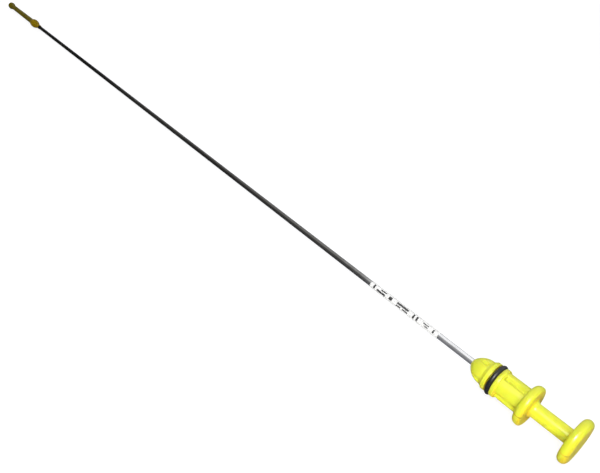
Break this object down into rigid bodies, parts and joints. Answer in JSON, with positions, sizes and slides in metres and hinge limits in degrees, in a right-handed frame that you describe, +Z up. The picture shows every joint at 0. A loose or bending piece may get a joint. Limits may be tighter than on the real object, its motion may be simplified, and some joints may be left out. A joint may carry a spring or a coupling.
{
  "type": "engine oil dipstick",
  "caption": "Engine oil dipstick: moulded pull handle with a sealed plug, a long straight steel rod with a wrapped label, and a moulded level tip with a ball end.",
  "frame": {"origin": "on the floor, under the middle of the lying dipstick's length", "axes": "+X towards the knob along the length, +Z up, the person pulling it stands at +X"},
  "size_m": [0.7362, 0.024, 0.024],
  "materials": {
    "handle_plastic": "bright yellow moulded plastic, smooth with a soft gloss",
    "seal_rubber": "black moulded rubber, satin",
    "rod_steel": "drawn steel wire, dull with lengthwise lines, darker towards the tip",
    "label_film": "white printed film, matt",
    "tip_plastic": "dark yellow moulded plastic, stained by oil"
  },
  "bodies": {
    "root": {"handle": "handle_plastic", "seal_ring": "seal_rubber", "rod": "rod_steel", "label_sleeve": "label_film", "level_tip": "tip_plastic"}
  },
  "joints": []
}
